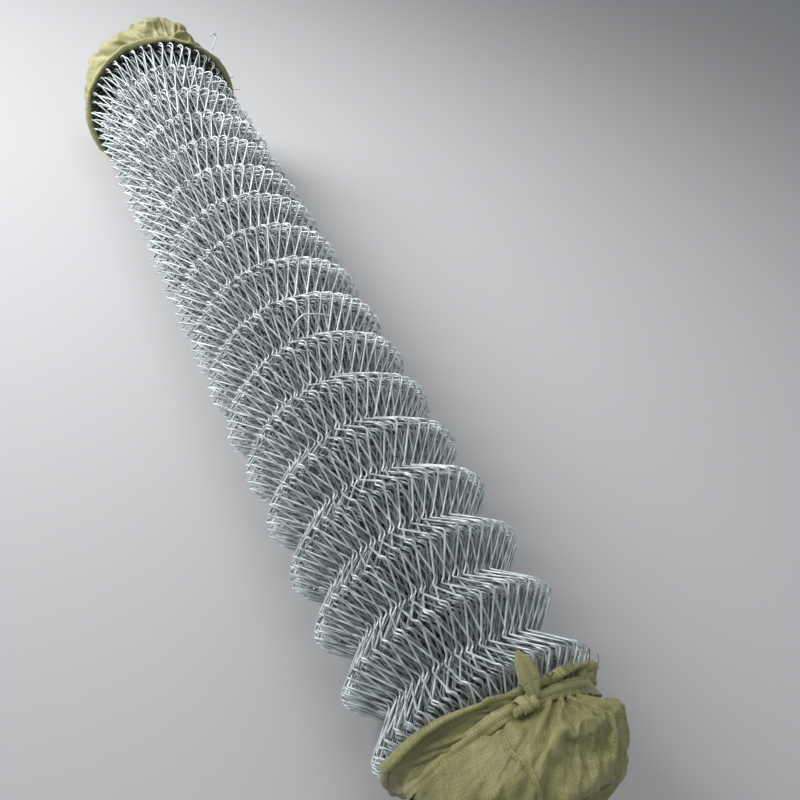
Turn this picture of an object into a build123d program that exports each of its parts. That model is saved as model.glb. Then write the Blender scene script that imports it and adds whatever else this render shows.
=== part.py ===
from build123d import *
import math
import os

os.makedirs("parts", exist_ok=True)

# Diamond mesh and the compact roll it is wound into
wire_diameter = 2.6
mesh_opening = 56.0
ridge_count = 19
ridge_radius = 136.0
leg_angle = 44.0
bend_width = 4.0
end_ridge_radius = 117.0
end_edge_radius = 98.0
turn_step = 11.0
wires_through_turn = 3
turn_gap_depth = 12.0
bore_radius = 24.0

# Sack covers pulled over both ends
cover_gap = 0.5
cover_wall = 3.0
near_mouth_reach = 0.80
far_mouth_reach = 0.62
near_cover_slack = 3.0
far_cover_slack = 14.0
cover_end_slack = 8.0
cover_chamfer = 6.0

# Twisted strips that tie the covers in
tie_radius = 5.0
tie_sides = 6
knot_radius = 10.0
knot_length = 20.0
knot_chamfer = 4.0
near_knot_angle = -10.0
far_knot_angle = 4.0
tail_length = 46.0
tail_width = 22.0
tail_widest_at = 25.0
tail_root_width = 8.0
tail_thickness = 3.0
tail_rise_angle = 36.0

# Each diamond stands on its corner, so one ridge is one diagonal long
pitch = mesh_opening * math.sqrt(2)
half_length = ridge_count * pitch / 2
leg_slope = math.tan(math.radians(leg_angle))
leg_run = (pitch - bend_width) / 2
valley_radius = ridge_radius - leg_slope * leg_run
turn_gap = turn_step - wires_through_turn * wire_diameter
axis_height = ridge_radius

# The roll lies along X with its lowest ridges on the plane Z = 0
section = Plane(origin=(0, 0, axis_height), x_dir=(1, 0, 0), z_dir=(0, -1, 0))
roll_axis = Axis((0, 0, axis_height), (1, 0, 0))


def edge_profile():
    """Ridges and valleys from one end to the other, as points along and out from the axis."""
    points = [(-half_length, end_edge_radius)]
    for ridge in range(ridge_count):
        at_end = ridge in (0, ridge_count - 1)
        crest = end_ridge_radius if at_end else ridge_radius
        middle = -half_length + (ridge + 0.5) * pitch
        points.append((middle - bend_width / 2, crest))
        points.append((middle + bend_width / 2, crest))
        if ridge < ridge_count - 1:
            points.append((middle + pitch / 2, valley_radius))
    points.append((half_length, end_edge_radius))
    return points


def spiral(start_radius, half_turns):
    """Half circles about two centres, which grow into an even spiral of the turn step."""
    for half in range(half_turns):
        center = (turn_step / 4 * (1 if half % 2 else -1), 0)
        CenterArc(center, start_radius + half * turn_step / 2, 180 * (half % 2), 180)


# Roll of mesh, with the ridges that its bent wires line up in and the bore left by the mandrel
with BuildPart() as mesh_roll:
    with BuildSketch(section):
        with BuildLine():
            outer = edge_profile()
            Polyline(*outer, (half_length, bore_radius), (-half_length, bore_radius), close=True)
        make_face()
    revolve(axis=roll_axis)

    # The turns show on both ends as a spiral gap between the windings
    gap_inside = bore_radius + turn_step - turn_gap
    gap_half_turns = int((end_edge_radius - gap_inside - turn_gap) / (turn_step / 2))
    gap_span = gap_half_turns * turn_step / 2
    for side in (-1, 1):
        end_plane = Plane(origin=(side * half_length, 0, axis_height), x_dir=(0, 1, 0), z_dir=(1, 0, 0))
        with BuildSketch(end_plane):
            with BuildLine():
                spiral(gap_inside, gap_half_turns)
                spiral(gap_inside + turn_gap, gap_half_turns)
                first = gap_inside - turn_step / 4
                Line((first, 0), (first + turn_gap, 0))
                turned = -1 if gap_half_turns % 2 else 1
                last = turned * (gap_inside + gap_span - turn_step / 4)
                Line((last, 0), (last + turned * turn_gap, 0))
            make_face()
        extrude(amount=-side * turn_gap_depth, mode=Mode.SUBTRACT)
mesh_roll.part.label = "mesh_roll"
export_step(mesh_roll.part, "parts/mesh_roll.step")


def cover_outline(mouth_reach, slack, rise):
    """Points of a cover's surface from its mouth, down the valley, over the end ridge to the end."""
    mouth = mouth_reach * leg_run
    crest = -half_length + pitch / 2
    end = -half_length - cover_end_slack - rise
    return [
        (-half_length + pitch + mouth, valley_radius + leg_slope * mouth + rise),
        (-half_length + pitch, valley_radius + rise),
        (crest + bend_width / 2, end_ridge_radius + slack + rise),
        (crest - bend_width / 2, end_ridge_radius + slack + rise),
        (end, end_edge_radius + slack + rise),
        (end, 0),
    ]


def end_rim(solid, side):
    """The round edge where a cover turns over the end of the roll."""
    return solid.edges().filter_by(GeomType.CIRCLE).group_by(Axis.X)[-1 if side < 0 else 0]


def valley_seat(distance, slack):
    """Place in the end valley of a cover that lies this far from both flanks, along and out."""
    end_slope = (end_ridge_radius + slack - valley_radius) / leg_run
    end_reach = math.hypot(1, end_slope)
    leg_reach = math.hypot(1, leg_slope)
    along = distance * (end_reach - leg_reach) / (end_slope + leg_slope)
    out = valley_radius + cover_gap + cover_wall + distance * end_reach - end_slope * along
    return (-half_length + pitch + along, out)


# One cover for each end: the near one is pulled further along the roll, the far one hangs looser
ends = (
    ("near", 1, near_mouth_reach, near_cover_slack, near_knot_angle),
    ("far", -1, far_mouth_reach, far_cover_slack, far_knot_angle),
)
for name, side, mouth_reach, slack, knot_angle in ends:
    tie_along, tie_out = valley_seat(tie_radius + cover_gap, slack)
    knot_along, knot_out = valley_seat(knot_radius + cover_gap, slack)
    with BuildPart() as end_sack:
        with BuildSketch(section):
            with BuildLine():
                inner = [(side * x, r) for x, r in cover_outline(mouth_reach, slack, cover_gap)]
                outer = [(side * x, r) for x, r in cover_outline(mouth_reach, slack, cover_gap + cover_wall)]
                Polyline(*inner, *reversed(outer), close=True)
            make_face()
        revolve(axis=roll_axis)
        chamfer(end_rim(end_sack, side), cover_chamfer)
    end_sack.part.label = name + "_end_sack"
    export_step(end_sack.part, "parts/" + name + "_end_sack.step")

    # The strip lies in the valley on the cover, with a knot and a loose end standing up from it
    middle = Plane(origin=(side * knot_along, 0, axis_height), x_dir=(1, 0, 0), z_dir=(0, 0, 1))
    knot_plane = middle.rotated((knot_angle, 0, 0)).offset(knot_out)
    with BuildPart() as tie:
        with BuildSketch(section):
            with Locations((side * tie_along, tie_out)):
                RegularPolygon(tie_radius, tie_sides)
        revolve(axis=roll_axis)
        with BuildSketch(knot_plane):
            with BuildLine():
                Polyline(
                    (0, -knot_length / 2),
                    (knot_radius - knot_chamfer, -knot_length / 2),
                    (knot_radius, -knot_length / 2 + knot_chamfer),
                    (knot_radius, knot_length / 2 - knot_chamfer),
                    (knot_radius - knot_chamfer, knot_length / 2),
                    (0, knot_length / 2),
                    close=True,
                )
            make_face()
        revolve(axis=Axis(knot_plane.origin, knot_plane.y_dir))
        tail_plane = knot_plane.rotated((0, -side * tail_rise_angle, 0))
        with BuildSketch(tail_plane):
            with BuildLine():
                Polyline(
                    (0, -tail_root_width / 2),
                    (side * tail_widest_at, -tail_width / 2),
                    (side * tail_length, 0),
                    (side * tail_widest_at, tail_width / 2),
                    (0, tail_root_width / 2),
                    close=True,
                )
            make_face()
        extrude(amount=tail_thickness / 2, both=True)
    tie.part.label = name + "_tie"
    export_step(tie.part, "parts/" + name + "_tie.step")
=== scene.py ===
import math
import bpy
import numpy as np
from mathutils import Matrix, Vector, noise
from mathutils.bvhtree import BVHTree


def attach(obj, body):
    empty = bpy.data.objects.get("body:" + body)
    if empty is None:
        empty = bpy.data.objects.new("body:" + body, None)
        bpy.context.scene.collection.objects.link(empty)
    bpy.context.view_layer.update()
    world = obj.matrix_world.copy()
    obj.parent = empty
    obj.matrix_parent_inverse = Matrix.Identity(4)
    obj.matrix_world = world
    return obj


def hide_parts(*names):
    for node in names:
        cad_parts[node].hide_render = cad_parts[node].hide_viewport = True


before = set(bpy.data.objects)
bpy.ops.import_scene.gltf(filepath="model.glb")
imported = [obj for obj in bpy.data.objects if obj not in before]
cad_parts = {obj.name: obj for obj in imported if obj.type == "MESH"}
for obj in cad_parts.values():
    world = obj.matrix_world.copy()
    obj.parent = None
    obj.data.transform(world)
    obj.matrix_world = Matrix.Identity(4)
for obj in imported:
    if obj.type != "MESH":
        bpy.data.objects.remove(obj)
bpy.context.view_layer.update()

# Sizes of the roll in metres, as in the CAD model
PITCH = 0.056 * math.sqrt(2)
RIDGES = 19
HALF = RIDGES * PITCH / 2
AXIS_Z = 0.136
RIDGE_R = 0.136
END_RIDGE_R = 0.117
END_EDGE_R = 0.098
LEG_SLOPE = math.tan(math.radians(44))
BEND = 0.004
LEG_RUN = (PITCH - BEND) / 2
VALLEY_R = RIDGE_R - LEG_SLOPE * LEG_RUN
LEG_RISE = RIDGE_R - VALLEY_R
TURN_STEP = 0.011
WIRE_R = 0.0013

# The flattened spirals that the mesh is woven from
SPIRAL_SPACING = 0.008
SPIRAL_THICKNESS = 0.0058
SPIRAL_DROP = 0.0024
BEND_RUN = 0.0090
BEND_HOOK = 0.0019
FREE_EDGE_INSET = 0.002
GROUND_GAP = 0.0002

# Errors of a whole spiral, and of each bend as a spread along, inwards and round the roll. They are cut off
# at so many spreads, and scaled at the near end, in the middle and at the far end.
DROP_ERROR = 0.0008
SHIFT_ERROR = 0.0006
SLIDE_ERROR = 0.0008
BEND_ERRORS = (0.0008, 0.0009, 0.0010)
LARGEST_ERROR = 2.2
UNTIDY = (0.8, 1.0, 1.7)

# Points in a bend and sides of the wire, from the outer winding inwards
WIRE_DETAIL = [(5, 5), (4, 5), (3, 4), (3, 4), (3, 3), (3, 3), (3, 3), (3, 3)]
# Windings, from the outer one inwards, that keep the plain zinc; the inner ones get a darker zinc as
# painted shade
WINDINGS_WITHOUT_PAINTED_SHADE = 1

# Wire ends that stand out of the outer turn: ridge, angle from the +Y side upwards and radius
LOOSE_ENDS = [
    [(7.60, 62, 0.106), (7.62, 66, 0.117), (7.66, 72, 0.125), (7.64, 80, 0.123), (7.60, 90, 0.1195)],
    [(16.95, 121, 0.130), (17.05, 121, 0.138), (17.2, 122, 0.146), (17.4, 123, 0.156),
     (17.55, 124, 0.165), (17.6, 122, 0.170), (17.55, 119.5, 0.168), (17.5, 119, 0.163)],
]
LOOSE_END_POINTS = 48
LOOSE_END_SIDES = 8
LOOSE_END_SMOOTHING = 8

rng = np.random.default_rng(20)


# Mesh helpers
def make_object(name, verts, faces, uv=None):
    mesh = bpy.data.meshes.new(name)
    mesh.from_pydata([tuple(v) for v in verts], [], [tuple(f) for f in faces])
    mesh.polygons.foreach_set("use_smooth", [True] * len(mesh.polygons))
    if uv is not None:
        mesh.uv_layers.new(name="cloth").data.foreach_set("uv", np.ravel(uv))
    mesh.update()
    obj = bpy.data.objects.new(name, mesh)
    bpy.context.scene.collection.objects.link(obj)
    return obj


def dressed(obj, mat, node):
    """Give a new piece its material and its body, and hide the CAD node that it stands in for."""
    obj.data.materials.append(mat)
    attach(obj, "root")
    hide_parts(node)
    return obj


def smoothstep(x):
    x = np.clip(x, 0, 1)
    return x * x * (3 - 2 * x)


def smoothed(points, times):
    """A row of points with its small corners evened out and its ends kept."""
    for _ in range(times):
        points[1:-1] = (points[:-2] + 2 * points[1:-1] + points[2:]) / 4
    return points


def unit(v):
    return v / np.maximum(np.linalg.norm(v, axis=-1, keepdims=True), 1e-12)


def tubes(paths, radius, sides):
    """Vertices and faces of one tube along each path; paths is an array of (tube, point, 3)."""
    count, length, _ = paths.shape
    tangent = np.gradient(paths, axis=1)
    tangent /= np.linalg.norm(tangent, axis=2, keepdims=True)
    # a direction that no wire runs along starts the frame that is carried along each path
    normal = np.cross(tangent[:, 0], np.array([0.31, 0.17, 0.94]))
    normal /= np.linalg.norm(normal, axis=1, keepdims=True)
    normals = np.empty_like(paths)
    for i in range(length):
        normal = normal - (normal * tangent[:, i]).sum(1, keepdims=True) * tangent[:, i]
        normal /= np.linalg.norm(normal, axis=1, keepdims=True)
        normals[:, i] = normal
    binormals = np.cross(tangent, normals)
    angle = np.arange(sides) * 2 * math.pi / sides
    ring = (
        normals[:, :, None] * np.cos(angle)[None, None, :, None]
        + binormals[:, :, None] * np.sin(angle)[None, None, :, None]
    )
    verts = (paths[:, :, None] + radius * ring).reshape(-1, 3)
    index = np.arange(count * length * sides).reshape(count, length, sides)
    after = np.roll(index, -1, axis=2)
    quads = np.stack([index[:, :-1], index[:, 1:], after[:, 1:], after[:, :-1]], -1).reshape(-1, 4)
    caps = [tuple(row[::-1]) for row in index[:, 0]] + [tuple(row) for row in index[:, -1]]
    return verts, [tuple(q) for q in quads.tolist()] + caps


def grid_faces(rows, cols):
    """Quads of a grid of rings, and the row and column of each of their corners with no wrap."""
    i, j = np.meshgrid(np.arange(rows - 1), np.arange(cols), indexing="ij")
    row = np.stack([i, i, i + 1, i + 1], -1).reshape(-1, 4)
    col = np.stack([j, j + 1, j + 1, j], -1).reshape(-1, 4)
    return row * cols + col % cols, row, col


# Wires of the windings
def wire_columns(points_in_bend):
    """Points of a wire: place along, height from valley to crest, which leg of the spiral, and bend."""
    flat = 1 - (SPIRAL_THICKNESS / 2) / LEG_RISE
    columns = [(-HALF, 0.0, 0.0, 0)]
    for bend in range(1, 2 * RIDGES):
        crest = bend % 2 == 1
        for a in np.linspace(0, math.pi, points_in_bend):
            along = -HALF + bend * PITCH / 2 + BEND_RUN * (a / math.pi - 0.5)
            lift = math.sin(a) * (SPIRAL_THICKNESS / 2) / LEG_RISE
            height = flat + lift if crest else 1 - flat - lift
            columns.append((along, height, math.cos(a) * (1 if crest else -1), bend))
    columns.append((HALF, 0.0, 0.0, 2 * RIDGES))
    return np.array(columns).T


def winding(number, points_in_bend, sides):
    """One turn of the mesh: flattened spirals that lean alternately and hook at their bends."""
    middle_r = (RIDGE_R + VALLEY_R) / 2 - number * TURN_STEP
    count = 2 * round(2 * math.pi * middle_r / SPIRAL_SPACING / 2)
    spacing = 2 * math.pi / count
    n = np.arange(count)
    lean = np.where(n % 2 == 0, 1.0, -1.0)
    base_angle = -math.pi / 2 + (n + 0.5) * spacing
    # over its last fifth a turn steps in to the next one
    step_in = smoothstep((n + 0.5) / count * 5 - 4)
    centre_r = RIDGE_R - WIRE_R - (number + step_in) * TURN_STEP
    centre_r = centre_r - np.where(lean > 0, 0.0, SPIRAL_DROP) - rng.uniform(0, DROP_ERROR, count)
    shift = rng.normal(0, SHIFT_ERROR, count)
    slide = rng.normal(0, SLIDE_ERROR, count)
    along, height, leg, bend = wire_columns(points_in_bend)
    # each bend has small errors of its own, and the far half of the roll is less tidy
    untidy = np.interp(along, [-HALF, 0.0, HALF], UNTIDY)
    per_bend = rng.normal(0, 1, (3, count, 2 * RIDGES + 1))
    error = np.clip(per_bend[:, :, bend.astype(int)], -LARGEST_ERROR, LARGEST_ERROR)
    slide_error, drop_error, shift_error = BEND_ERRORS
    x = along[None, :] + slide[:, None] + error[0] * slide_error * untidy
    drop = -np.abs(error[1]) * drop_error * untidy
    aside = shift[:, None] + error[2] * shift_error * untidy
    x[:, 0], x[:, -1] = -HALF + FREE_EDGE_INSET, HALF - FREE_EDGE_INSET
    # the sacks squeeze the ridge at each end
    squeeze = np.clip((np.abs(x) - (HALF - PITCH)) / (PITCH / 2), 0, 1)
    crest_r = centre_r[:, None] - (RIDGE_R - END_RIDGE_R) * squeeze
    valley_r = centre_r[:, None] - LEG_RISE
    r = valley_r + (crest_r - valley_r) * height[None, :] + drop
    # the free edge stands as high as the end edge
    edge = (np.abs(along) > HALF - 1e-6)[None, :]
    r = np.where(edge, centre_r[:, None] - (RIDGE_R - END_EDGE_R), r)
    swing = lean[:, None] * (height[None, :] - 0.5) * (spacing * middle_r + 2 * BEND_HOOK)
    sideways = swing + leg[None, :] * SPIRAL_THICKNESS / 2 + aside
    angle = base_angle[:, None] + sideways / r
    paths = np.stack([x, r * np.cos(angle), AXIS_Z + r * np.sin(angle)], -1)
    paths[:, :, 2] += np.clip(WIRE_R - paths[:, :, 2] + GROUND_GAP, 0, None)
    return make_object("wire_turn_%d" % (number + 1), *tubes(paths, WIRE_R, sides))


def loose_end(number, stations):
    """A wire along smooth steps between its stations."""
    at = np.linspace(0, len(stations) - 1, LOOSE_END_POINTS)
    ridge, angle, radius = (np.interp(at, np.arange(len(stations)), col) for col in np.array(stations).T)
    x, angle = -HALF + (ridge + 0.5) * PITCH, np.radians(angle)
    path = np.stack([x, radius * np.cos(angle), AXIS_Z + radius * np.sin(angle)], -1)
    path = smoothed(path, LOOSE_END_SMOOTHING)
    return make_object("wire_end_%d" % number, *tubes(path[None], WIRE_R, LOOSE_END_SIDES))


# Materials
def new_material(name):
    mat = bpy.data.materials.new(name)
    mat.use_nodes = True
    return mat, mat.node_tree.nodes, mat.node_tree.links, mat.node_tree.nodes["Principled BSDF"]


def connect(links, socket, value):
    """Link a socket to an output, or set it to a number."""
    if hasattr(value, "is_output"):
        links.new(value, socket)
    else:
        socket.default_value = value


def ramp_between(nodes, links, value, low, high):
    """Colours from low to high, each a place on the ramp and a colour."""
    ramp = nodes.new("ShaderNodeValToRGB")
    for element, (place, colour) in zip(ramp.color_ramp.elements, (low, high)):
        element.position = place
        element.color = (*colour, 1)
    links.new(value, ramp.inputs["Fac"])
    return ramp.outputs["Color"]


# Darkest and lightest tint of galvanised wire
ZINC_DARK = (0.38, 0.425, 0.435)
ZINC_LIGHT = (0.69, 0.74, 0.745)


def zinc_material(name, shade):
    """Galvanised wire with grey patches that differ in tint and gloss."""
    mat, nodes, links, shader = new_material(name)
    shader.inputs["Metallic"].default_value = 0.72
    coord = nodes.new("ShaderNodeTexCoord")
    patches = nodes.new("ShaderNodeTexNoise")
    patches.inputs["Scale"].default_value = 60
    patches.inputs["Detail"].default_value = 5
    links.new(coord.outputs["Object"], patches.inputs["Vector"])
    dark, light = ([shade * part for part in tint] for tint in (ZINC_DARK, ZINC_LIGHT))
    tint = ramp_between(nodes, links, patches.outputs["Fac"], (0.35, dark), (0.65, light))
    links.new(tint, shader.inputs["Base Color"])
    rough = nodes.new("ShaderNodeMapRange")
    rough.inputs["To Min"].default_value = 0.46
    rough.inputs["To Max"].default_value = 0.68
    links.new(patches.outputs["Fac"], rough.inputs["Value"])
    links.new(rough.outputs["Result"], shader.inputs["Roughness"])
    return mat


zinc = zinc_material("galvanised_wire", 1.15)
# the inner windings' darker zinc is painted shade on the inside of the roll
painted_shade_zinc = zinc_material("galvanised_wire_painted_shade", 0.74)
wire_detail = WIRE_DETAIL
for number, (points_in_bend, sides) in enumerate(wire_detail):
    mat = zinc if number < WINDINGS_WITHOUT_PAINTED_SHADE else painted_shade_zinc
    dressed(winding(number, points_in_bend, sides), mat, "mesh_roll")
for number, stations in enumerate(LOOSE_ENDS, 1):
    dressed(loose_end(number, stations), zinc, "mesh_roll")

# Sack ends pulled over the roll: the cloth's grid, its tie and mouth, and the room that it may take
SACK_COLS = 152
CLOTH_STEP = 0.0064
SKIRT_ROWS = 7
CLOTH_WIDE = 0.1440
CLOTH_HIGH = 0.2960
CLOTH_LOW = 0.0006
ROOM_WIDE = 0.1460
ROOM_HIGH = 0.1605
ROOM_LOW = 0.150
ROOM_ROUND = 0.84
START_WIDE = 0.143
START_HIGH = 0.290
START_LOW = 0.003
WIDE_MARGIN = 0.006
HIGH_MARGIN = 0.012
CLOTH_THICKNESS = 0.0007
TIE_R = 0.1045
TIE_LEAST_R = 0.1035
TIE_LIFT = 0.0025
HEM_LIFT = 0.0028
HEM_LEAST_REACH = 0.007
HEM_DIP_SPAN = 0.9
SLANT_SPAN = 1.9
SKIRT_SLOPE = math.radians(40)
RING_STEP = 1.15
PLEAT_STEPS = 4001
PLEAT_SPREAD = 0.3
PLEAT_LARGEST_ERROR = 1.5
PLEAT_LEAN = 0.6
ROWS_HELD_FLAT = 3
SMALLEST_RING = 0.009
END_UV_SHIFT = 2.0

# Small crumples of the cloth: how many in a metre, and their depth
CRUMPLES = ((38, 0.0016), (95, 0.0007))

# Width of a tape of the woven cloth
TAPE_WIDTH = 0.0023

# What the cloth meets: sides and stations of the turned forms, the gaps that it keeps and the friction
PROXY_SIDES = 96
PROXY_GAP = 0.0012
PROXY_FRICTION = 12
PROXY_STATIONS = [
    0.0, 0.0, 0.004, 0.02, 0.037, 0.0396, 0.042, 0.06, 0.076, 0.0792, 0.083, 0.1, 0.1168, 0.121, 0.13,
]
TUNNEL_SIDES = 72
TUNNEL_GAP = 0.0015
SELF_GAP = 0.0012

# Frames of the simulation: the cloth is drawn in, then the pressure in it falls
DRAWN_BY = 16
PRESSED_UNTIL = 20
EASED_BY = 30
LAST_FRAME = 32
EASED_PRESSURE = 0.6

# The two ends. Angles are turned from the knot, but the knot's own and the end seam's go from the +Y side
# upwards. Of the cloth: its length round the sack, the length of a pleat, how far the sack reaches past the
# end of the roll (slack), and how much further at most and where (bulge).
# Of the skirt: its spare length (rumple), the reach of its hem in lengths of a leg (middle, swing and where
# it is longest), how far the hem comes down to the tie at the knot (dip, from 0 to 1) and the share of the
# pleats' height that it shows. Of the tie: how much nearer to the end it lies away from the knot (slant),
# the width of its strip and the shift of its knot. The pressure that fills the sack is its press.
# A gather is its place, its width and how much it crowds the cloth. A tail is its start along the strip,
# its lean, its rise, its length and its width.
ENDS = {
    "near": dict(
        side=-1,
        knot=math.radians(80),
        seed=5,
        round=0.90,
        hem=(0.50, 0.13, -1.2),
        dip=0.7,
        hem_pleat=1.0,
        pleat=0.034,
        rumple=0.011,
        slack=0.016,
        bulge=(0.022, 1.2),
        slant=0.004,
        press=16,
        gathers=(
            (0.34, 0.28, 3.0), (-0.30, 0.035, 2.0), (0.95, 0.05, 2.0), (1.6, 0.05, 1.6),
            (2.5, 0.06, 2.0), (-1.5, 0.05, 1.2), (-2.3, 0.06, 2.0),
        ),
        seam=math.radians(14),
        side_seam=-0.36,
        knot_shift=0.012,
        frays=60,
        strip=0.0165,
        tails=((0.0, -0.12, math.radians(40), 0.054, 0.024),),
    ),
    "far": dict(
        side=1,
        knot=math.radians(94),
        seed=8,
        round=0.93,
        hem=(0.92, 0.03, 0.8),
        dip=0.1,
        hem_pleat=0.25,
        pleat=0.034,
        rumple=0.004,
        slack=0.038,
        bulge=(0.018, 0.0),
        slant=0.0,
        press=26,
        gathers=(
            (0.0, 0.20, 3.0), (-0.75, 0.05, 2.0), (0.60, 0.06, 2.4), (1.3, 0.05, 2.0),
            (2.1, 0.06, 2.4), (2.9, 0.06, 2.4), (-1.5, 0.06, 2.4), (-2.3, 0.06, 2.4),
        ),
        seam=math.radians(-22),
        side_seam=1.9,
        knot_shift=0.0,
        frays=40,
        strip=0.014,
        tails=(
            (0.002, 0.15, math.radians(52), 0.044, 0.018),
            (-0.004, -0.6, math.radians(20), 0.026, 0.012),
        ),
    ),
}


def end_profile(along):
    """Radius of the mesh at a distance from the end plane."""
    places = [0, PITCH / 2, PITCH, PITCH * 1.5 - BEND / 2, PITCH * 1.5 + BEND / 2, PITCH * 2]
    radii = [END_EDGE_R, END_RIDGE_R, VALLEY_R, RIDGE_R, RIDGE_R, VALLEY_R]
    return np.interp(along, places, radii)


def end_point(side, along, radius, angle):
    """Points at a distance from the end plane, at a radius and an angle from the +Y side upwards."""
    along, radius, angle = np.broadcast_arrays(along, radius, angle)
    return np.stack([side * (HALF - along), radius * np.cos(angle), AXIS_Z + radius * np.sin(angle)], -1)


def collider(obj, thickness):
    obj.modifiers.new("hit", "COLLISION")
    obj.collision.thickness_outer = thickness
    return obj


def end_proxy(side):
    """What the cloth lies on: the end of the roll as a turned form."""
    along = np.array(PROXY_STATIONS)
    radii = end_profile(along)
    # the end is closed, with a softened edge, and the side that the cloth doesn't reach is drawn in
    radii[0], radii[-1] = 0.0005, 0.09
    radii[1] -= 0.003
    angle = np.arange(PROXY_SIDES) * 2 * math.pi / PROXY_SIDES
    pts = np.concatenate([end_point(side, a, r, angle) for a, r in zip(along, radii)])
    quads = grid_faces(len(along), PROXY_SIDES)[0]
    obj = collider(make_object("proxy", pts, quads if side < 0 else quads[:, ::-1]), PROXY_GAP)
    obj.collision.cloth_friction = PROXY_FRICTION
    return obj


def room_proxies():
    """The ground, and a rounded tunnel round the room that the loose cloth may take."""
    ground = make_object("ground", [(-1, -0.4, 0), (1, -0.4, 0), (1, 0.4, 0), (-1, 0.4, 0)], [(0, 1, 2, 3)])
    t = np.arange(TUNNEL_SIDES) * 2 * math.pi / TUNNEL_SIDES
    y, z = np.cos(t), np.sin(t)
    y = ROOM_WIDE * np.sign(y) * np.abs(y) ** ROOM_ROUND
    z = AXIS_Z + np.where(z > 0, ROOM_HIGH, ROOM_LOW) * np.sign(z) * np.abs(z) ** ROOM_ROUND
    n = TUNNEL_SIDES
    tunnel = make_object(
        "tunnel",
        np.concatenate([np.stack([t * 0 + x, y, z], -1) for x in (-1, 1)]),
        [(i, n + i, n + (i + 1) % n, (i + 1) % n) for i in range(n)],
    )
    return [collider(wall, TUNNEL_GAP) for wall in (ground, tunnel)]


def tie_line(end, turned):
    """How far from the end the tie lies, at an angle turned from the knot."""
    return PITCH - end["slant"] * smoothstep(np.abs(turned) / SLANT_SPAN)


def hem_line(end, turned):
    """How far from the end the mouth lies; it comes down to the tie at the knot."""
    away = smoothstep(np.abs(turned) / HEM_DIP_SPAN)
    middle, swing, longest = end["hem"]
    reach = (middle + swing * np.cos(turned - longest)) * LEG_RUN
    return PITCH + HEM_LEAST_REACH + (reach - HEM_LEAST_REACH) * (1 - end["dip"] * (1 - away))


def drawn_in(end, ring, cloth, draw):
    """Angle turned from the knot and height of the pleat at each place round cloth drawn in to a ring."""
    fine = np.linspace(-math.pi, math.pi, PLEAT_STEPS)
    extra = sum(much * np.exp(-(((fine - place) / wide) ** 2)) for place, wide, much in end["gathers"])
    crowd = 1 + extra * (end["round"] / ring - 1) / extra.mean()
    share = np.concatenate([[0], np.cumsum((crowd[1:] + crowd[:-1]) / 2)])
    turned = np.interp(cloth, share / share[-1] * end["round"], fine)
    local = np.maximum(np.interp(turned, fine, crowd), 1)
    uneven = draw.normal(0, 1, len(cloth)).clip(-PLEAT_LARGEST_ERROR, PLEAT_LARGEST_ERROR)
    wave = np.cumsum(1 + PLEAT_SPREAD * uneven)
    wave *= 2 * math.pi * round(end["round"] / end["pleat"]) / wave[-1]
    height = end["pleat"] / 2 * np.sqrt(1 - 1 / local**2) * (0.5 - 0.5 * np.cos(wave))
    return turned + np.sign(turned) * PLEAT_LEAN * height / ring * 2 * math.pi, height


def sack_rows(end, draw):
    """Rows of the cloth's grid from its mouth to the middle of its end: at rest, at first and drawn in."""
    side, slack = end["side"], end["slack"]
    rest_r = end["round"] / (2 * math.pi)
    cloth = np.arange(SACK_COLS) / SACK_COLS * end["round"]
    cloth_angle = end["knot"] + cloth / rest_r - math.pi
    turned = cloth / rest_r - math.pi
    tie_turned, tie_height = drawn_in(end, 2 * math.pi * TIE_R, cloth, draw)
    hem_ring = 2 * math.pi * end_profile(hem_line(end, turned)).mean()
    hem_turned, hem_height = drawn_in(end, hem_ring, cloth, draw)
    tie_a, hem_a = tie_line(end, tie_turned), hem_line(end, hem_turned)
    skirt = (hem_a - tie_a) / math.cos(SKIRT_SLOPE) + end["rumple"]
    bulge, fullest = end["bulge"]
    body = tie_a + slack + bulge * (0.5 + 0.5 * np.cos(turned - fullest))
    body_rows = round(float(body.max()) / CLOTH_STEP)
    rest, start, closed = [], [], []
    for row in range(SKIRT_ROWS + body_rows + 1):
        if row < SKIRT_ROWS:
            more = 1 - row / SKIRT_ROWS
            a, laid = body + skirt * more, tie_a + skirt * more
        else:
            left = 1 - (row - SKIRT_ROWS) / body_rows
            a, laid = body * left, (tie_a + slack) * left - slack
        rest.append(np.stack([a, rest_r * np.cos(cloth_angle), rest_r * np.sin(cloth_angle)], -1))
        start.append(end_point(side, laid, rest_r, cloth_angle))
        closed.append(start[-1])
    hem_r = end_profile(hem_a) + HEM_LIFT + end["hem_pleat"] * hem_height
    tie_r = np.maximum(end_profile(tie_a), TIE_LEAST_R) + TIE_LIFT + tie_height
    closed[0] = end_point(side, hem_a, hem_r, end["knot"] + hem_turned)
    closed[SKIRT_ROWS] = end_point(side, tie_a, tie_r, end["knot"] + tie_turned)
    for r in np.arange(rest_r - CLOTH_STEP, SMALLEST_RING, -CLOTH_STEP * RING_STEP):
        rest.append(np.stack([np.zeros(SACK_COLS), r * np.cos(cloth_angle), r * np.sin(cloth_angle)], -1))
        start.append(end_point(side, -slack, r, cloth_angle))
        closed.append(start[-1])
    return body_rows, len(rest), np.concatenate(rest), np.concatenate(start), np.concatenate(closed)


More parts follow.
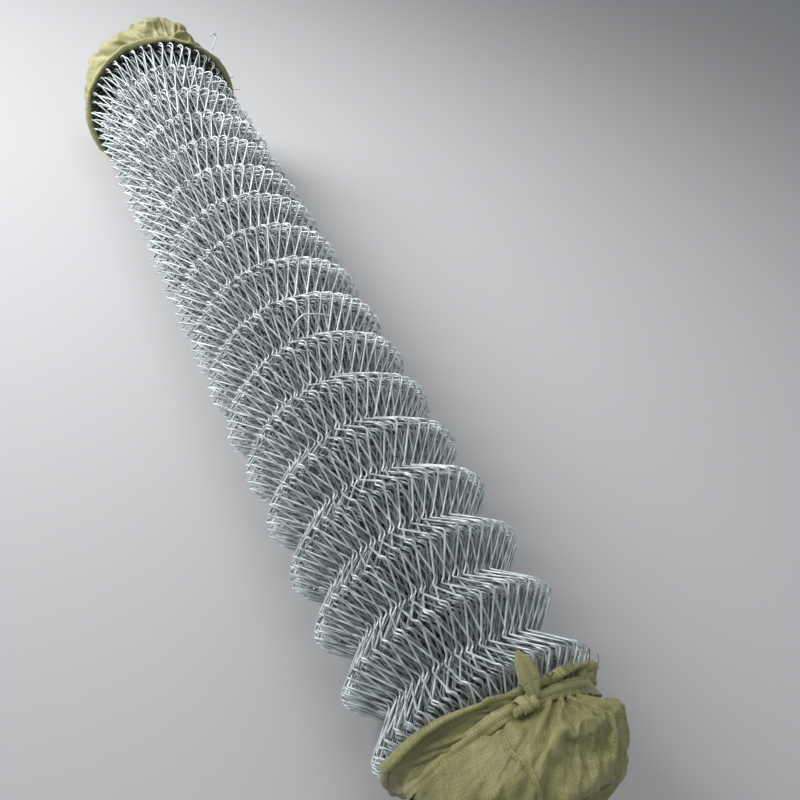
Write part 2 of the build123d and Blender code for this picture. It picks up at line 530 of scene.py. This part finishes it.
def sack_faces(side, rest, rows, body_rows, around):
    """Faces of the cloth's grid and their places on the flat cloth, with the end of the sack set apart."""
    quads, row, col = grid_faces(rows, SACK_COLS)
    corners = rest[row * SACK_COLS + col % SACK_COLS]
    flat_uv = np.stack([col / SACK_COLS * around, corners[:, :, 0]], -1)
    on_end = (row.min(1) >= SKIRT_ROWS + body_rows)[:, None, None]
    uv = np.where(on_end, corners[:, :, 1:] + END_UV_SHIFT, flat_uv)
    if side < 0:
        quads, uv = quads[:, ::-1], uv[:, ::-1]
    middle = np.arange((rows - 1) * SACK_COLS, rows * SACK_COLS)
    middle = middle if side > 0 else middle[::-1]
    faces = [tuple(q) for q in quads.tolist()] + [tuple(middle.tolist())]
    return faces, np.concatenate([uv.reshape(-1, 2), rest[middle, 1:] + END_UV_SHIFT])


def add_cloth(soft, resting, press):
    """The cloth's stiffness, damping and collisions, and the pressure that fills the sack and then falls.
    """
    modifier = soft.modifiers.new("cloth", "CLOTH")
    settings = modifier.settings
    settings.quality = 5
    settings.mass = 0.10
    settings.tension_stiffness = settings.compression_stiffness = 30
    settings.shear_stiffness = 14
    settings.bending_stiffness = 4.0
    settings.tension_damping = settings.compression_damping = 8
    settings.bending_damping = 1.0
    settings.air_damping = 2
    settings.vertex_group_mass = "pin"
    settings.rest_shape_key = resting
    settings.use_pressure = True
    settings.vertex_group_pressure = "blown"
    for frame_number, value in ((1, press), (PRESSED_UNTIL, press), (EASED_BY, press * EASED_PRESSURE)):
        settings.uniform_pressure_force = value
        settings.keyframe_insert("uniform_pressure_force", frame=frame_number)
    contact = modifier.collision_settings
    contact.use_collision = True
    contact.distance_min = PROXY_GAP
    contact.collision_quality = 3
    contact.use_self_collision = True
    contact.self_distance_min = SELF_GAP


def sack(name):
    """A sack end pulled over the roll, drawn in at its mouth and tie, and left to settle."""
    end = ENDS[name]
    side = end["side"]
    draw = np.random.default_rng(end["seed"])
    body_rows, rows, rest, start, closed = sack_rows(end, draw)
    start[:, 2] = np.clip(start[:, 2], START_LOW, START_HIGH)
    start[:, 1] = np.clip(start[:, 1], -START_WIDE, START_WIDE)
    closed[:, 2] = np.maximum(closed[:, 2], START_LOW)
    faces, uv = sack_faces(side, rest, rows, body_rows, end["round"])
    soft = make_object("soft", start, faces, uv=uv)
    soft.shape_key_add(name="Basis")
    closing = soft.shape_key_add(name="closing")
    closing.data.foreach_set("co", closed.ravel())
    resting = soft.shape_key_add(name="resting")
    resting.data.foreach_set("co", (rest * [side, 1, 1]).ravel())
    for frame_number, value in ((1, 0), (DRAWN_BY, 1)):
        closing.value = value
        closing.keyframe_insert("value", frame=frame_number)
    pinned = soft.vertex_groups.new(name="pin")
    for row_number in (0, SKIRT_ROWS):
        pinned.add(list(range(row_number * SACK_COLS, (row_number + 1) * SACK_COLS)), 1.0, "REPLACE")
    blown = soft.vertex_groups.new(name="blown")
    first_blown = (SKIRT_ROWS + ROWS_HELD_FLAT) * SACK_COLS
    blown.add(list(range(first_blown, rows * SACK_COLS)), 1.0, "REPLACE")
    add_cloth(soft, resting, end["press"])
    props = [end_proxy(side)] + room_proxies()
    scene = bpy.context.scene
    for frame_number in range(1, LAST_FRAME + 1):
        scene.frame_set(frame_number)
    view = bpy.context.evaluated_depsgraph_get()
    settled = bpy.data.meshes.new_from_object(soft.evaluated_get(view))
    scene.frame_set(1)
    for helper in [soft] + props:
        bpy.data.objects.remove(helper)
    settled.name = name + "_sack"
    obj = bpy.data.objects.new(name + "_sack", settled)
    bpy.context.scene.collection.objects.link(obj)
    hem = np.array([settled.vertices[i].co[:] for i in range(SACK_COLS)])
    return obj, hem


def apply_modifiers(obj):
    view = bpy.context.evaluated_depsgraph_get()
    mesh = bpy.data.meshes.new_from_object(obj.evaluated_get(view))
    obj.modifiers.clear()
    obj.data = mesh


def eased(values, limit, margin):
    """Values that come gently to rest below a limit, from a margin before it."""
    over = values - (limit - margin)
    return values - np.where(over > 0, over - margin * np.tanh(over / margin), 0)


def finish_sack(obj, name, mat):
    """Smooth the settled cloth, crumple it a little and give it its thickness."""
    end = ENDS[name]
    obj.modifiers.new("smooth", "SUBSURF").levels = 1
    apply_modifiers(obj)
    mesh = obj.data
    co = np.empty(len(mesh.vertices) * 3)
    mesh.vertices.foreach_get("co", co)
    co = co.reshape(-1, 3)
    normal = np.array([v.vector[:] for v in mesh.vertex_normals])
    depth = np.empty(len(co))
    for i, p in enumerate(co):
        v = Vector(p) + Vector((end["seed"], 0, 0))
        depth[i] = -sum(deep * abs(noise.noise(v * many)) for many, deep in CRUMPLES)
    co += normal * depth[:, None]
    co[:, 1] = np.sign(co[:, 1]) * eased(np.abs(co[:, 1]), CLOTH_WIDE, WIDE_MARGIN)
    co[:, 2] = np.maximum(eased(co[:, 2], CLOTH_HIGH, HIGH_MARGIN), CLOTH_LOW)
    mesh.vertices.foreach_set("co", co.ravel())
    mesh.polygons.foreach_set("use_smooth", [True] * len(mesh.polygons))
    mesh.update()
    thick = obj.modifiers.new("thickness", "SOLIDIFY")
    thick.thickness = CLOTH_THICKNESS
    thick.offset = 0
    dressed(obj, mat, name + "_end_sack")


# Rays towards the axis that find the cloth: where they start and how far they look
RAY_START_R = 0.25
RAY_REACH = 0.17

# The strip round the sack. Its outline is a strip folded on itself: places across and up, from -1 to 1.
FOLDED = [
    (-1.0, 0.0), (-0.85, 0.75), (-0.3, 0.95), (0.12, 0.9), (0.2, 0.45), (0.85, 0.4), (1.0, -0.1),
    (0.8, -0.75), (0.0, -0.9), (-0.8, -0.8),
]
END_UV_SCALE = 0.004
STRIP_POINTS = 300
STRIP_THICKNESS = 0.0032
STRIP_LIFT = 0.0008
STRIP_HIGHEST = 0.018
STRIP_REACH = 4
STRIP_UNEVEN = 0.0015
STRIP_PINCH = 0.006
PINCH_SPAN = 0.25
SLOPE_RUN = 0.004
STEEPEST = 0.9

# The knot
KNOT_POINTS = 90
KNOT_TURNS = 2.6
KNOT_LENGTH = 0.024
KNOT_R = 0.0075
KNOT_END_SHARE = 0.62
KNOT_FLATNESS = 0.78
KNOT_LUMPS = 0.08
KNOT_STRIP = 0.0115
KNOT_TWIST = 0.25
KNOT_LEAN = 0.1
KNOT_LIFT = 0.004
KNOT_REACH = 6

# The loose ends of the strip: places along them and the share of their width there
TAIL_PLACES = (0, 0.12, 0.45, 0.8, 1)
TAIL_WIDTHS = (0.45, 0.6, 1.0, 0.7, 0.12)
TAIL_POINTS = 24
TAIL_THICKNESS = 0.0022
TAIL_LIFT = 0.003
TAIL_DROOP = 0.10
TAIL_CREASE = 0.16

# The rolled hem. Its outline is round, with a dent where the cloth laps.
HEM_SIDES = 12
HEM_LAP = 3
HEM_DENT = (0.16, 0.2)
ROLLED = [
    (math.cos(t) * (1 - HEM_DENT[0] * (k == HEM_LAP)), math.sin(t) * (1 - HEM_DENT[1] * (k == HEM_LAP)))
    for k, t in enumerate(np.arange(HEM_SIDES) * 2 * math.pi / HEM_SIDES)
]
HEM_WIDTH = 0.0092
HEM_THICKNESS = 0.0062
HEM_WIDE = 0.137
HEM_LOW = 0.0088
HEM_OUT = 0.0025
HEM_EVENED = 0.35
HEM_UNEVEN = 0.16
HEM_WAVES = 2.5
HEM_FULLER = 0.3
HEM_FULL_SPAN = 1.2

# The seam across the end and its stitches. Rays towards a point inside the roll find the cloth under it.
SEAM_POINTS = 110
SEAM_SPAN = 62
SEAM_CENTRE = 0.045
SEAM_RAY = 0.4
SEAM_WIDTH = 0.011
SEAM_THICKNESS = 0.0026
SEAM_LIFT = 0.0012
STITCH_STEP = 0.0065
STITCH_LENGTH = 0.0048
STITCH_POINTS = 5
STITCH_R = 0.0006
STITCH_SIDES = 6
STITCH_LIFT = 0.0027
STITCH_BOW = 0.0006
STITCH_SINK = 0.0003
FIRST_STITCH = 0.004
LAST_STITCH = 0.006

# The seam along the side, which starts short of the tie and runs on past the end plane
SIDE_SEAM_POINTS = 60
SIDE_SEAM_FROM_TIE = 0.012
SIDE_SEAM_PAST_END = 0.002
SIDE_SEAM_WIDTH = 0.005
SIDE_SEAM_THICKNESS = 0.0022
SIDE_SEAM_WIDE = 0.1415
SIDE_SEAM_LIFT = 0.0004
SIDE_SEAM_SWAY = 0.03
SIDE_SEAM_WAVES = 90

# Loose tapes at the cut edge
FRAY_POINTS = 6
FRAY_R = 0.0005
FRAY_SIDES = 4
FRAY_LIFT = 0.002
FRAY_BEND = 0.004
FRAY_LOW = 0.001
SHORTEST_FRAY = 0.006
LONGEST_FRAY = 0.018


# Strips, knots and seams on the sacks
def ribbon(name, path, up, width, thick, outline=FOLDED, twist=0.0, closed=False, crease=0.0):
    """A strip along a path: outline is scaled to the width and thickness and turned by the twist."""
    count = len(path)
    if closed:
        along = unit(np.roll(path, -1, 0) - np.roll(path, 1, 0))
    else:
        along = unit(np.gradient(path, axis=0))
    up = unit(up - (up * along).sum(1, keepdims=True) * along)
    across = np.cross(along, up)
    turn = np.broadcast_to(twist, count)[:, None]
    across, up = across * np.cos(turn) + up * np.sin(turn), up * np.cos(turn) - across * np.sin(turn)
    ax, uy = np.array(outline).T
    half_w = np.broadcast_to(width, count)[:, None] / 2
    half_t = np.broadcast_to(thick, count)[:, None] / 2
    sink = np.broadcast_to(crease, count)[:, None] * np.abs(ax)[None, :]
    verts = (
        path[:, None]
        + across[:, None] * (half_w * ax)[:, :, None]
        + up[:, None] * (half_t * uy + sink)[:, :, None]
    ).reshape(-1, 3)
    sides = len(outline)
    quads, row, col = grid_faces(count + 1 if closed else count, sides)
    quads = quads % (count * sides)
    step = np.linalg.norm(np.diff(path, axis=0, append=path[:1]), axis=1)
    run = np.concatenate([[0], np.cumsum(step)])
    uv = np.stack([col / sides * 2 * half_w.mean() * 2, run[row]], -1)
    faces = [tuple(q) for q in quads.tolist()]
    uv = uv.reshape(-1, 2)
    if not closed:
        first, last = np.arange(sides)[::-1], np.arange(sides) + (count - 1) * sides
        faces += [tuple(first.tolist()), tuple(last.tolist())]
        end_uv = np.stack([ax, uy], -1) * END_UV_SCALE
        uv = np.concatenate([uv, end_uv[::-1], end_uv])
    # faces that look inwards are turned round with their corners on the flat cloth
    a, b, c = verts[quads[:, 0]], verts[quads[:, 1]], verts[quads[:, 2]]
    if (a * np.cross(b, c)).sum() + (a * np.cross(c, verts[quads[:, 3]])).sum() < 0:
        faces = [f[::-1] for f in faces]
        starts = np.cumsum([0] + [len(f) for f in faces])
        uv = np.concatenate([uv[s:e][::-1] for s, e in zip(starts[:-1], starts[1:])])
    return make_object(name, verts, faces, uv=uv)


def surface_of(obj):
    """Search tree of a piece's faces."""
    verts = [v.co[:] for v in obj.data.vertices]
    return BVHTree.FromPolygons(verts, [list(p.vertices) for p in obj.data.polygons])


def outside_radius(tree, side, along, angle):
    """Radius of the outermost cloth at each distance from the end and angle."""
    found = []
    for a, t in zip(*np.broadcast_arrays(along, angle)):
        start = Vector(end_point(side, a, RAY_START_R, t))
        axis = Vector((start.x, 0, AXIS_Z))
        hit = tree.ray_cast(start, (axis - start).normalized(), RAY_REACH)[0]
        found.append((hit - axis).length if hit else float(end_profile(a)))
    return np.array(found)


def taut(radii, reach, closed):
    """What a taut strip does over folds: it spans from one to the next."""
    mode = "wrap" if closed else "edge"
    wide = np.pad(radii, reach, mode=mode)
    top = np.max([wide[i:len(wide) - 2 * reach + i] for i in range(2 * reach + 1)], axis=0)
    wide = np.pad(top, reach, mode=mode)
    return np.mean([wide[i:len(wide) - 2 * reach + i] for i in range(2 * reach + 1)], axis=0)


def strip_path(tree, end, turned):
    """Closed path of the strip round the sack at its tie, and the way that its outer face looks."""
    side = end["side"]
    a = tie_line(end, turned)
    angle = end["knot"] + turned
    r, r_in, r_out = (
        taut(outside_radius(tree, side, a + shift, angle), STRIP_REACH, True)
        for shift in (0, -SLOPE_RUN, SLOPE_RUN)
    )
    r = np.minimum(r, end_profile(a) + STRIP_HIGHEST)
    slope = np.clip((r_out - r_in) / (2 * SLOPE_RUN), -STEEPEST, STEEPEST)
    up = np.stack([side * slope, np.cos(angle), np.sin(angle)], -1)
    return end_point(side, a, r + STRIP_LIFT, angle), up


def wrapped_knot(name, middle, lie, out):
    """A strip wound a few times round itself, as a flat knot of cloth."""
    lie = unit(lie - (lie @ out) * out)
    forth = np.cross(lie, out)
    t = np.linspace(0, 1, KNOT_POINTS)
    turns = KNOT_TURNS * 2 * math.pi * t
    swell = np.sin(math.pi * np.clip(t, 0.02, 0.98)) ** 0.35
    fullness = KNOT_END_SHARE + (1 - KNOT_END_SHARE) * swell
    r = KNOT_R * fullness * (1 + KNOT_LUMPS * np.sin(5 * turns / KNOT_TURNS))
    place = (t - 0.5) * KNOT_LENGTH
    around = np.cos(turns)[:, None] * out * KNOT_FLATNESS + np.sin(turns)[:, None] * forth
    path = middle + place[:, None] * lie + r[:, None] * around
    return ribbon(name, path, around, KNOT_STRIP, STRIP_THICKNESS, twist=KNOT_TWIST * np.sin(turns))


def tie(name, tree, mat):
    """The strip round the sack, its knot and its loose ends."""
    end = ENDS[name]
    side, knot, node = end["side"], end["knot"], name + "_tie"
    turned = np.linspace(-math.pi, math.pi, STRIP_POINTS, endpoint=False)
    wobble = 0.12 * np.sin(3 * turned + end["seed"]) + 0.08 * np.sin(7 * turned)
    path, up = strip_path(tree, end, turned)
    pinch = STRIP_PINCH * np.exp(-((turned / PINCH_SPAN) ** 2))
    width = end["strip"] + STRIP_UNEVEN * np.sin(2 * turned + 1) - pinch
    strip = ribbon(name + "_strip", path, up, width, STRIP_THICKNESS, twist=wobble, closed=True)
    dressed(strip, mat, node)
    # the knot sits on the strip, and its loose ends lean out over the mesh
    at = int(np.argmin(np.abs(turned)))
    out = unit(np.array([side * KNOT_LEAN, math.cos(knot), math.sin(knot)]))
    lie = unit(path[(at + KNOT_REACH) % STRIP_POINTS] - path[at - KNOT_REACH])
    middle = path[at] + out * KNOT_LIFT - lie * end["knot_shift"]
    dressed(wrapped_knot(name + "_knot", middle, lie, out), mat, node)
    inward = np.array([-side, 0.0, 0.0])
    t = np.linspace(0, 1, TAIL_POINTS)
    shape = np.interp(t, TAIL_PLACES, TAIL_WIDTHS)
    for number, (start_at, lean, rise, long, wide) in enumerate(end["tails"], 1):
        heading = unit(inward * math.cos(rise) + out * math.sin(rise) + lie * lean)
        droop = -TAIL_DROOP * long * t**2.5
        root = path[at] + lie * start_at + out * TAIL_LIFT
        line = root + heading * (long * t)[:, None] + out * droop[:, None]
        face = np.tile(out * math.cos(rise) - inward * math.sin(rise), (len(t), 1))
        leaf = ribbon(name + "_tail_%d" % number, line, face, wide * shape, TAIL_THICKNESS,
                      twist=0.5 * t - 0.1, crease=TAIL_CREASE * wide * shape)
        dressed(leaf, mat, node)


def rolled_hem(name, hem, mat):
    """The hem rolled over at the mouth, and the way outwards from each of its points."""
    end = ENDS[name]
    path = hem + (np.roll(hem, 1, 0) + np.roll(hem, -1, 0) - 2 * hem) * HEM_EVENED
    path[:, 1] = np.clip(path[:, 1], -HEM_WIDE, HEM_WIDE)
    path[:, 2] = np.maximum(path[:, 2], HEM_LOW)
    away = unit(path - (path * [1, 0, 0] + [0, 0, AXIS_Z]))
    turned = (np.arctan2(away[:, 2], away[:, 1]) - end["knot"] + math.pi) % (2 * math.pi) - math.pi
    roll_turn = np.linspace(0, 4 * math.pi, len(hem), endpoint=False)
    fuller = HEM_FULLER * smoothstep(np.abs(turned) / HEM_FULL_SPAN)
    fat = 1 + HEM_UNEVEN * np.sin(roll_turn * HEM_WAVES + end["seed"]) + fuller
    rolled = ribbon(name + "_hem", path + away * HEM_OUT, away, HEM_WIDTH * fat, HEM_THICKNESS * fat,
                    outline=ROLLED, twist=roll_turn, closed=True)
    return dressed(rolled, mat, name + "_end_sack"), away


def end_seam(name, tree, mat, thread_mat):
    """The sewn seam across the end of the sack, with its stitches."""
    end = ENDS[name]
    sideways = np.array([0.0, math.cos(end["seam"]), math.sin(end["seam"])])
    outward = np.array([end["side"] * 1.0, 0.0, 0.0])
    centre = np.array([end["side"] * (HALF - SEAM_CENTRE), 0.0, AXIS_Z])
    seam, faces_out = [], []
    for psi in np.radians(np.linspace(-SEAM_SPAN, SEAM_SPAN, SEAM_POINTS)):
        ray = outward * math.cos(psi) + sideways * math.sin(psi)
        hit, normal = tree.ray_cast(Vector(centre + ray * SEAM_RAY), Vector(-ray), SEAM_RAY)[:2]
        if hit:
            seam.append(hit[:])
            faces_out.append((normal if normal.dot(Vector(ray)) > 0 else -normal)[:])
    seam, faces_out = smoothed(np.array(seam), 2), unit(smoothed(np.array(faces_out), 2))
    sewn = ribbon(name + "_seam", seam + faces_out * SEAM_LIFT, faces_out, SEAM_WIDTH, SEAM_THICKNESS)
    dressed(sewn, mat, name + "_end_sack")
    line = seam + faces_out * STITCH_LIFT
    run = np.concatenate([[0], np.cumsum(np.linalg.norm(np.diff(line, axis=0), axis=1))])
    stitches = []
    for s in np.arange(FIRST_STITCH, run[-1] - LAST_STITCH, STITCH_STEP):
        piece = np.linspace(s, s + STITCH_LENGTH, STITCH_POINTS)
        bow = np.sin(np.linspace(0, math.pi, STITCH_POINTS)) * STITCH_BOW - STITCH_SINK
        pts = np.stack([np.interp(piece, run, line[:, k]) for k in range(3)], -1)
        normal = np.stack([np.interp(piece, run, faces_out[:, k]) for k in range(3)], -1)
        stitches.append(pts + normal * bow[:, None])
    thread = make_object(name + "_stitches", *tubes(np.array(stitches), STITCH_R, STITCH_SIDES))
    return sewn, dressed(thread, thread_mat, name + "_end_sack")


def side_seam(name, tree, mat):
    """The seam along the side of the sack, from the strip to the end."""
    end = ENDS[name]
    first = tie_line(end, end["side_seam"]) - SIDE_SEAM_FROM_TIE
    along = np.linspace(first, -SIDE_SEAM_PAST_END, SIDE_SEAM_POINTS)
    angle = end["knot"] + end["side_seam"] + SIDE_SEAM_SWAY * np.sin(along * SIDE_SEAM_WAVES)
    radii = taut(outside_radius(tree, end["side"], along, angle), 2, False)
    path = end_point(end["side"], along, radii, angle)
    path[:, 1] = np.clip(path[:, 1], -SIDE_SEAM_WIDE, SIDE_SEAM_WIDE)
    path = smoothed(path, 3)
    up = path * [0, 1, 1] - [0, 0, AXIS_Z]
    path = path + unit(up) * SIDE_SEAM_LIFT
    seam = ribbon(name + "_side_seam", path, up, SIDE_SEAM_WIDTH, SIDE_SEAM_THICKNESS)
    return dressed(seam, mat, name + "_end_sack")


def loose_tapes(name, hem, away, mat):
    """Short tapes that stand loose at the cut edge."""
    end = ENDS[name]
    draw = np.random.default_rng(end["seed"] + 40)
    loose = []
    for _ in range(end["frays"]):
        j = draw.integers(0, len(hem))
        go = unit(np.array([-end["side"] * draw.uniform(0.2, 1.0), 0, 0])
                  + away[j] * draw.uniform(0.1, 0.9)
                  + np.cross([1, 0, 0], away[j]) * draw.normal(0, 0.7))
        t = np.linspace(0, 1, FRAY_POINTS)[:, None]
        bend = unit(draw.normal(0, 1, 3))
        length = draw.uniform(SHORTEST_FRAY, LONGEST_FRAY)
        loose.append(hem[j] + away[j] * FRAY_LIFT + go * t * length + bend * t**2 * FRAY_BEND)
    loose = np.array(loose)
    loose[:, :, 1] = np.clip(loose[:, :, 1], -START_WIDE, START_WIDE)
    loose[:, :, 2] = np.clip(loose[:, :, 2], FRAY_LOW, START_HIGH)
    frays = make_object(name + "_frays", *tubes(loose, FRAY_R, FRAY_SIDES))
    return dressed(frays, mat, name + "_end_sack")


def dress_end(name, cloth_mat, strip_mat):
    """A sack with its tie, hem, seams and loose tapes."""
    obj, hem = sack(name)
    finish_sack(obj, name, cloth_mat)
    tree = surface_of(obj)
    tie(name, tree, strip_mat)
    rolled, away = rolled_hem(name, hem, cloth_mat)
    sewn, thread = end_seam(name, tree, cloth_mat, strip_mat)
    edge_seam = side_seam(name, tree, cloth_mat)
    frays = loose_tapes(name, hem, away, cloth_mat)


def woven_material(name, light, dark):
    """Flat tapes woven over and under: their own tints, painted shade in the gaps between them, gloss and
    relief.
    """
    mat, nodes, links, shader = new_material(name)

    def node(kind, **inputs):
        new = nodes.new("ShaderNode" + kind)
        for key, value in inputs.items():
            connect(links, new.inputs[key.replace("_", " ")], value)
        return new

    def calc(operation, *values):
        new = nodes.new("ShaderNodeMath")
        new.operation = operation
        for socket, value in zip(new.inputs, values):
            connect(links, socket, value)
        return new.outputs[0]

    def crown(f):
        """Height across a tape."""
        centred = calc("SUBTRACT", calc("MULTIPLY", f, 2.0), 1.0)
        return calc("SUBTRACT", 1.0, calc("POWER", calc("ABSOLUTE", centred), 3.0))

    def rising(f):
        """Height along a tape, which dips under its neighbours."""
        return calc("ADD", calc("MULTIPLY", calc("SINE", calc("MULTIPLY", f, math.pi)), 0.6), 0.4)

    def either(first, second):
        """The first where the warp is on top, and the second elsewhere."""
        under = calc("SUBTRACT", 1.0, over)
        return calc("ADD", calc("MULTIPLY", first, over), calc("MULTIPLY", second, under))

    def tape_tint(number):
        tint = nodes.new("ShaderNodeTexWhiteNoise")
        tint.noise_dimensions = "1D"
        links.new(number, tint.inputs["W"])
        return tint.outputs["Value"]

    uv = nodes.new("ShaderNodeUVMap")
    uv.uv_map = "cloth"
    split = node("SeparateXYZ", Vector=uv.outputs["UV"])
    across = calc("DIVIDE", split.outputs["X"], TAPE_WIDTH)
    down = calc("DIVIDE", split.outputs["Y"], TAPE_WIDTH)
    col, row = calc("FLOOR", across), calc("FLOOR", down)
    fx, fy = calc("FRACT", across), calc("FRACT", down)
    over = calc("MODULO", calc("ABSOLUTE", calc("ADD", col, row)), 2.0)
    relief = either(calc("MULTIPLY", crown(fx), rising(fy)), calc("MULTIPLY", crown(fy), rising(fx)))
    tints = either(tape_tint(col), tape_tint(calc("ADD", row, 517.0)))
    place = nodes.new("ShaderNodeTexCoord").outputs["Object"]
    soil = node("TexNoise", Vector=place, Scale=9.0, Detail=6.0, Roughness=0.6).outputs["Fac"]
    grain = node("TexNoise", Vector=place, Scale=70.0, Detail=4.0).outputs["Fac"]
    mix = calc("ADD", calc("MULTIPLY", soil, 0.65), calc("MULTIPLY", tints, 0.20))
    mix = calc("ADD", mix, calc("MULTIPLY", grain, 0.15))
    colour = ramp_between(nodes, links, mix, (0.30, dark), (0.66, light))
    # tapes are darkened where they dip under their neighbours: painted shade in the gaps of the weave
    gap_painted_shade = node("MapRange", Value=relief, From_Min=0.0, From_Max=0.45, To_Min=0.68, To_Max=1.0)
    shade = nodes.new("ShaderNodeMix")
    shade.data_type = "RGBA"
    shade.blend_type = "MULTIPLY"
    shade.inputs["Factor"].default_value = 1.0
    links.new(colour, shade.inputs["A"])
    links.new(gap_painted_shade.outputs["Result"], shade.inputs["B"])
    links.new(shade.outputs["Result"], shader.inputs["Base Color"])
    rough = node("MapRange", Value=grain, To_Min=0.36, To_Max=0.58)
    links.new(rough.outputs["Result"], shader.inputs["Roughness"])
    shader.inputs["Sheen Weight"].default_value = 0.15
    creases = node("TexNoise", Vector=place, Scale=150.0, Detail=3.0).outputs["Fac"]
    fine = node("Bump", Height=relief, Distance=0.00035, Strength=0.8)
    coarse = node("Bump", Height=creases, Distance=0.0012, Strength=0.5, Normal=fine.outputs["Normal"])
    links.new(coarse.outputs["Normal"], shader.inputs["Normal"])
    return mat


# The near sack's tints are its olive cloth made a little darker as painted shade; the far sack's paler copy
# of the same cloth is painted light
cloth_mat = woven_material("woven_sack", (0.345, 0.328, 0.135), (0.15, 0.145, 0.05))
painted_light_cloth_mat = woven_material("woven_sack_painted_light", (0.44, 0.43, 0.22), (0.21, 0.205, 0.085))
strip_mat = woven_material("sack_strip", (0.40, 0.38, 0.175), (0.22, 0.21, 0.082))
dress_end("near", cloth_mat, strip_mat)
dress_end("far", painted_light_cloth_mat, strip_mat)

# Camera at the photo's angle, fitted with the ridge radius as the unit and the second ridge at x = 0
FRAME_WIDTH = 800
FOCAL_PIXELS = 842.7
CAMERA_PLACE = (-1.7000, 4.0312, 6.7826)
CAMERA_AZIMUTH = -0.77368
CAMERA_DOWN = 0.67960
CAMERA_ROLL = 0.45182


def place_camera():
    flat = math.cos(CAMERA_DOWN)
    across, along = math.cos(CAMERA_AZIMUTH), math.sin(CAMERA_AZIMUTH)
    ahead = Vector((across * flat, along * flat, -math.sin(CAMERA_DOWN)))
    level = ahead.cross(Vector((0, 0, 1))).normalized()
    above = level.cross(ahead)
    right = math.cos(CAMERA_ROLL) * level + math.sin(CAMERA_ROLL) * above
    up = -math.sin(CAMERA_ROLL) * level + math.cos(CAMERA_ROLL) * above
    place = Vector((-HALF + 1.5 * PITCH, 0, 0)) + RIDGE_R * Vector(CAMERA_PLACE)
    data = bpy.data.cameras.new("camera")
    data.sensor_fit = "HORIZONTAL"
    data.sensor_width = 36
    data.lens = FOCAL_PIXELS / FRAME_WIDTH * data.sensor_width
    data.clip_start = 0.01
    data.clip_end = 50
    camera = bpy.data.objects.new("camera", data)
    bpy.context.scene.collection.objects.link(camera)
    rows = [[*turned, at] for turned, at in zip(zip(right, up, -ahead), place)]
    camera.matrix_world = Matrix(rows + [[0, 0, 0, 1]])
    bpy.context.scene.camera = camera


place_camera()

# Floor and light: each lamp's place, what it points at, its size, its power and its spread in degrees
FLOOR_SIZE = 12
FLOOR_TINT = (0.50, 0.50, 0.51, 1)
WORLD_TINT = (0.75, 0.78, 0.8, 1)
WORLD_STRENGTH = 0.40
LAMPS = {
    "key": ((1.2, 2.3, 1.9), (0.75, 0, 0.1), 1.6, 32, 75),
    "top": ((0.3, 0.2, 4.0), (0.3, 0, 0.1), 2.4, 34, 180),
    "fill": ((-2.2, -1.6, 2.6), (0, 0, 0.1), 2.5, 4, 140),
}

corners = [(x * FLOOR_SIZE, y * FLOOR_SIZE, 0) for x, y in ((-1, -1), (1, -1), (1, 1), (-1, 1))]
floor = make_object("floor", corners, [(0, 1, 2, 3)])
floor_mat, _, _, floor_shader = new_material("floor")
floor_shader.inputs["Base Color"].default_value = FLOOR_TINT
floor_shader.inputs["Roughness"].default_value = 0.9
floor.data.materials.append(floor_mat)

for name, (place, target, size, power, spread) in LAMPS.items():
    data = bpy.data.lights.new(name, "AREA")
    data.size = size
    data.energy = power
    data.spread = math.radians(spread)
    lamp = bpy.data.objects.new(name, data)
    bpy.context.scene.collection.objects.link(lamp)
    direction = Vector(target) - Vector(place)
    lamp.rotation_euler = direction.to_track_quat("-Z", "Y").to_euler()
    lamp.location = place

world = bpy.data.worlds.new("world")
bpy.context.scene.world = world
world.use_nodes = True
background = world.node_tree.nodes["Background"]
background.inputs["Color"].default_value = WORLD_TINT
background.inputs["Strength"].default_value = WORLD_STRENGTH
bpy.context.scene.view_settings.view_transform = "Standard"
